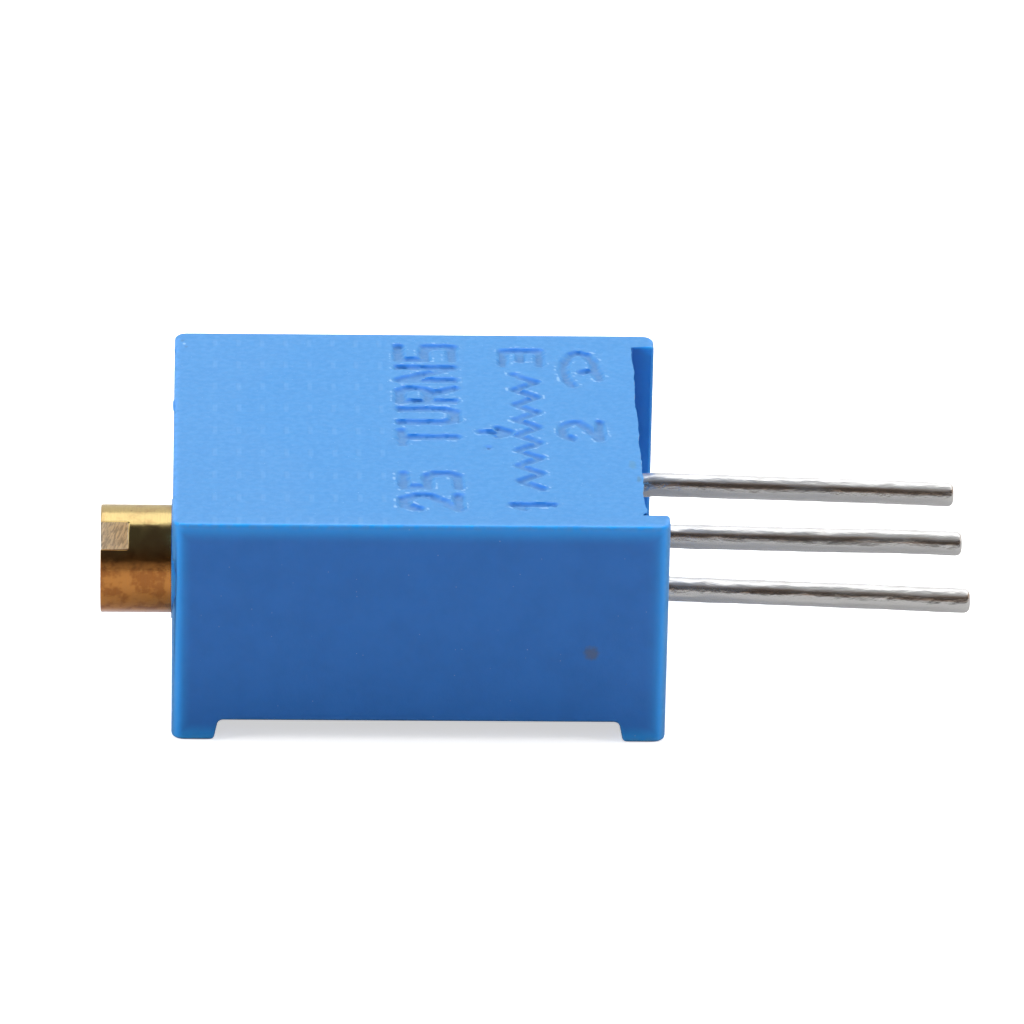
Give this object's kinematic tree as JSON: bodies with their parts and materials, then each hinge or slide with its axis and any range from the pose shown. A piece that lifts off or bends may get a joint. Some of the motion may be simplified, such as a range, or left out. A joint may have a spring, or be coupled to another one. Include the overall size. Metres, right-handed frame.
{
  "type": "trimmer potentiometer",
  "caption": "Square multi-turn trimmer potentiometer with a slotted end screw that drives a worm wheel and wiper, and straight in-line leads at the other end.",
  "frame": {"origin": "centre of the whole part's footprint, at the level of its back feet", "axes": "+X from the screw to the leads, +Z out of the marked face; the part lies on its back feet"},
  "size_m": [0.0178, 0.0096, 0.0048],
  "materials": {
    "blue_moulding": "satin blue moulding",
    "brass": "turned, lightly tarnished",
    "silicone": "matt",
    "spring_bronze": "rolled strip",
    "nylon": "natural nylon",
    "alumina": "as fired",
    "cermet": "fired resistive print",
    "silver_print": "fired silver print",
    "tinned_wire": "bright tinned",
    "solder": "reflowed",
    "resin": "cast resin with a dull gloss"
  },
  "bodies": {
    "body": {"case": "blue_moulding", "screw_retaining_clip": "spring_bronze", "ceramic_element": "alumina", "resistive_track": "cermet", "collector_print": "silver_print", "termination_1": "silver_print", "termination_3": "silver_print", "lead_1": "tinned_wire", "lead_2": "tinned_wire", "lead_3": "tinned_wire", "solder_1": "solder", "solder_2": "solder", "solder_3": "solder", "sealing_resin": "resin"},
    "screw": {"adjusting_screw": "brass", "screw_seal_ring": "silicone"},
    "wheel": {"worm_wheel": "nylon", "wiper_spring": "spring_bronze"}
  },
  "joints": [
    {"name": "screw_turn", "type": "hinge", "parent": "body", "child": "screw", "pos_m": [-0.00741, -0.00345, 0.00345], "axis": [1, 0, 0], "range_deg": [-4500, 4500]},
    {"name": "wheel_turn", "type": "hinge", "parent": "body", "child": "wheel", "pos_m": [-0.00291, 0.00025, 0.00345], "axis": [0, 0, 1], "range_deg": [-140.62, 140.62]}
  ],
  "couplings": [
    {"joint": "wheel_turn", "follows": "screw_turn", "ratio": -0.03125}
  ]
}
